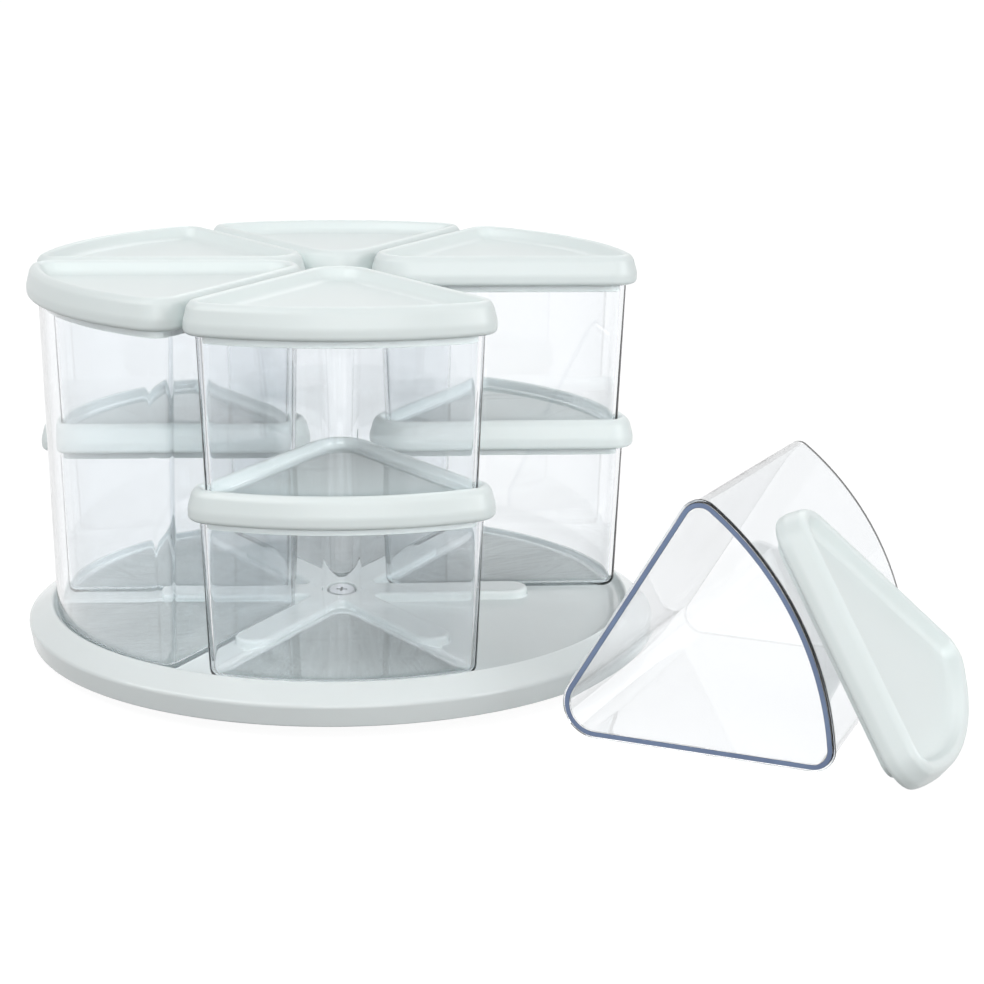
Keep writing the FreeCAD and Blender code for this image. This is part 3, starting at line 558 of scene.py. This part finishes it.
def put_pair(name, index, base, height):
    """Bin with its lid on."""
    put(f"{name}_bin_clear", bin_meshes[height], upright(index, base), f"{name}_bin")
    put(f"{name}_lid_white", lid_mesh, upright(index, base + height - LID_LAP), f"{name}_lid")


for place, index in STACKS.items():
    put_pair(f"{place}_lower", index, TRAY_FLOOR, SMALL_HIGH)
    put_pair(f"{place}_upper", index, TRAY_FLOOR + STACK_PITCH, SMALL_HIGH)
for place, index in TALL_BINS.items():
    put_pair(f"{place}_tall", index, TRAY_FLOOR, TALL_HIGH)


# ---------------------------------------------------------------- the loose bin and its lid
# A tall bin lies on one flat side with its mouth to the front, and its lid leans on its curved
# side, with the plug against the bin and the wide end on the table.

HEADING, LEAN_ANGLE, LEAN_TURN = (math.radians(a) for a in (-21.4, 37.4, 7.3))


def at_node(mesh, turn, node):
    """Place that turns a mesh and lays its box on a CAD node's box."""
    low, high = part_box(node)
    spots = [turn @ v.co for v in mesh.vertices]
    middle = [(min(s[i] for s in spots) + max(s[i] for s in spots)) / 2 for i in range(3)]
    return Matrix.Translation((low + high) / 2 - Vector(middle)) @ turn.to_4x4()


# The bin lies on its foot and on the bead of its mouth, so its wall is tilted.
tilt = math.atan2(DRAFT + BEAD_OUT, TALL_HIGH - TALL_FOOT)
lying = (Matrix.Rotation(HEADING, 3, "Z") @ Matrix.Rotation(math.pi / 2 - tilt, 3, "X")
         @ Matrix.Rotation(HALF_ANGLE, 3, "Z"))
put("loose_tall_bin_clear", bin_meshes[TALL_HIGH],
    at_node(bin_meshes[TALL_HIGH], lying, "loose_tall_bin"), "loose_tall_bin")

# The lid lies along the curved side's line at LEAN_ANGLE from the bin's lower side wall.
touch = LEAN_ANGLE - HALF_ANGLE
outwards = Vector((math.cos(touch), math.sin(touch), 0))
along = (lying @ (outwards * DRAFT + Vector((0, 0, TALL_HIGH)))).normalized()
climb = lying @ Vector((-math.sin(touch), math.cos(touch), 0))
face = climb.cross(along).normalized()
face = face if face.z > 0 else -face
climb = (climb - face * climb.dot(face)).normalized()
downhill = -(climb * math.cos(LEAN_TURN) + along * math.sin(LEAN_TURN))
leaning = Matrix((downhill, face.cross(downhill), face)).transposed()
put("loose_tall_lid_white", lid_mesh, at_node(lid_mesh, leaning, "loose_tall_lid"),
    "loose_tall_lid")


# ---------------------------------------------------------------- turntable tray
# White moulded tray: a shallow dish with a raised, bevelled rim and a star of six ribs that
# keep the bins apart.  Underneath it has the upper race ring, and a sunk hub for the pivot.

RACE, RACE_HALF, RACE_FACE, RACE_LAND = 70, 8, 12.8, 0.5
BALL_HIGH, BALL_SEAT = 11.5, 3.08
UNDERSIDE, HEM_HIGH, SHOULDER_HIGH, CREST_HIGH = 16, 6, 15.5, 23
BIN_PLAY, CREST_WIDE, BEVEL_WIDE, SKIRT_DRAFT = 2, 2.3, 11, 1.5
SKIN, CREST_WALL, SHOULDER_WALL = TRAY_FLOOR - UNDERSIDE, 3.7, 1.3
CREST = LID_RADIUS - BASE_INSET + BIN_PLAY
DISH, SHOULDER = CREST - CREST_WIDE, CREST + BEVEL_WIDE
HEM = SHOULDER - SKIRT_DRAFT
UNDER_DISH, UNDER_CREST = DISH + 1.5, CREST + 1
RIB_REACH, RIB_HIGH, RIB_PLAY, RIB_NOOK = 87, 4.3, 0.1, 3
RIB_HALF, RIB_TOP = LID_SIDE + BASE_INSET - RIB_PLAY, TRAY_FLOOR + RIB_HIGH
RIB_OUTSIDE, RIB_INSIDE, PAST_RIBS = 2.5, 3.5, 12
HUB, HUB_EDGE, HEAD_SINK, BORE = 10.5, 2, 4.2, 4.08
HUB_FLOOR = RIB_TOP - HEAD_SINK
NOOK_STEPS, END_STEPS, RIB_STEPS, GROOVE_STEPS = 4, 24, 8, 10


def star_sector(out):
    """Outline of one rib and half of the nook on each side of it, moved outwards."""
    half, reach, nook = RIB_HALF + out, RIB_REACH - RIB_HALF, RIB_NOOK - out
    deep = (half + nook) / math.tan(HALF_ANGLE)
    lower = arc_points((deep, -half - nook), nook, HALF_ANGLE + math.pi * 2 / 3, math.pi / 2,
                       NOOK_STEPS)
    end = arc_points((reach, 0), half, -math.pi / 2, math.pi / 2, END_STEPS)
    side = [(deep + (reach - deep) * i / RIB_STEPS, -half) for i in range(1, RIB_STEPS)]
    upper = [(x, -y) for x, y in reversed(lower + side)]
    return lower + side + end + upper[:-1]


def ring_sector(radius):
    """Sixth of a circle with as many points as a sixth of the star."""
    return arc_points((0, 0), radius, -HALF_ANGLE, HALF_ANGLE, len(star_sector(0)))[:-1]


def tray_loops():
    """Sixths of the loops round the tray's section, from the bore's foot outwards, over the
    rim, across the ribs and down the hub."""
    groove = math.asin((RACE_FACE - BALL_HIGH) / BALL_SEAT)
    groove_half = BALL_SEAT * math.cos(groove)
    below = rounded([
        (BORE, UNDERSIDE), (RACE - RACE_HALF, UNDERSIDE, 0.8), (RACE - RACE_HALF, RACE_FACE, 0.4),
        (RACE - groove_half - RACE_LAND, RACE_FACE)])
    race = arc_points((RACE, BALL_HIGH), BALL_SEAT, math.pi - groove, groove, GROOVE_STEPS)
    rim = rounded([
        (RACE + groove_half + RACE_LAND, RACE_FACE),
        (RACE + RACE_HALF, RACE_FACE, 0.4), (RACE + RACE_HALF, UNDERSIDE, 0.8),
        (UNDER_DISH, UNDERSIDE, 0.5), (UNDER_CREST, CREST_HIGH - CREST_WALL, 0.8),
        (SHOULDER - SKIN, SHOULDER_HIGH - SHOULDER_WALL, 1), (HEM - SKIN, HEM_HIGH, 0.4),
        (HEM, HEM_HIGH, 0.8), (SHOULDER, SHOULDER_HIGH, 2), (CREST, CREST_HIGH, 1.2),
        (DISH, TRAY_FLOOR, 1.5), (RIB_REACH + PAST_RIBS, TRAY_FLOOR)])
    ribs = rounded([(RIB_OUTSIDE, TRAY_FLOOR), (0, TRAY_FLOOR, 0.7), (0, RIB_TOP, 1.5),
                    (-RIB_INSIDE, RIB_TOP)])
    hub = rounded([(HUB + HUB_EDGE, RIB_TOP), (HUB, RIB_TOP, 0.5), (HUB, HUB_FLOOR, 0.3),
                   (BORE, HUB_FLOOR, 0.3), (BORE, UNDERSIDE)])[:-1]
    rings = [(ring_sector(r), z) for r, z in list(below) + race + list(rim)]
    star = [(star_sector(out), z) for out, z in ribs]
    return rings + star + [(ring_sector(r), z) for r, z in hub]


def tray_mesh():
    """Closed mesh of the tray: each sixth is turned to all six places, and loops that follow
    each other are joined by faces."""
    made = bmesh.new()
    loops = []
    for sector, z in tray_loops():
        points = []
        for place in range(PLACES):
            turn = Matrix.Rotation(math.radians(360 / PLACES * place + REST_TURN), 2)
            points += [turn @ Vector(p) for p in sector]
        loops.append([made.verts.new((x * MM, y * MM, z * MM)) for x, y in points])
    for inner, outer in zip(loops, loops[1:] + loops[:1]):
        for i in range(len(inner)):
            made.faces.new((inner[i - 1], inner[i], outer[i], outer[i - 1]))
    return clean_mesh(made, bpy.data.meshes.new("turntable_tray_white"))


tray = new_object("turntable_tray_white", tray_mesh())
tray.data.materials.append(white_plastic("tray_white", (0.82, 0.87, 0.865), 0.16))
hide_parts("turntable_tray")
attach(tray, "turntable")


# ---------------------------------------------------------------- base, feet, bearing and pivot
# The pieces under the tray and in its hub: a moulded base, soft rubber feet, steel balls in a
# nylon cage, and a zinc-plated screw with its washer.  They keep their own shapes.


def grained(name, colour, roughness, scale, depth, metallic=0.0):
    """Material with cloudy colour and gloss, and a fine grain."""
    material, tree, output = new_material(name)
    cloud = noise(tree, scale / 12, 4)
    body = main_shader(tree, {
        "Base Color": tinted(tree, cloud, [c * 0.86 for c in colour], colour),
        "Roughness": ranged(tree, cloud, roughness - 0.06, roughness + 0.1),
        "Normal": relief(tree, noise(tree, scale, 3), 0.3, depth),
    }, Metallic=metallic)
    tree.links.new(body, output.inputs["Surface"])
    return material


CARRIED = {
    "base_plate": grained("base_white", (0.76, 0.81, 0.8), 0.38, 1500, 0.0001),
    "rubber_feet": grained("foot_rubber", (0.07, 0.07, 0.075), 0.7, 2600, 0.0002),
    "ball_cage": grained("cage_nylon", (0.72, 0.7, 0.62), 0.45, 1200, 0.0001),
    "bearing_balls": grained("bearing_steel", (0.62, 0.62, 0.63), 0.16, 900, 0.00002, 1.0),
    "pivot_screw": grained("zinc_steel", (0.6, 0.62, 0.64), 0.3, 1800, 0.00005, 1.0),
    "pivot_washer": grained("washer_steel", (0.55, 0.56, 0.57), 0.34, 1600, 0.00005, 1.0),
}
for node, material in CARRIED.items():
    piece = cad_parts[node]
    piece.data.materials.clear()
    piece.data.materials.append(material)
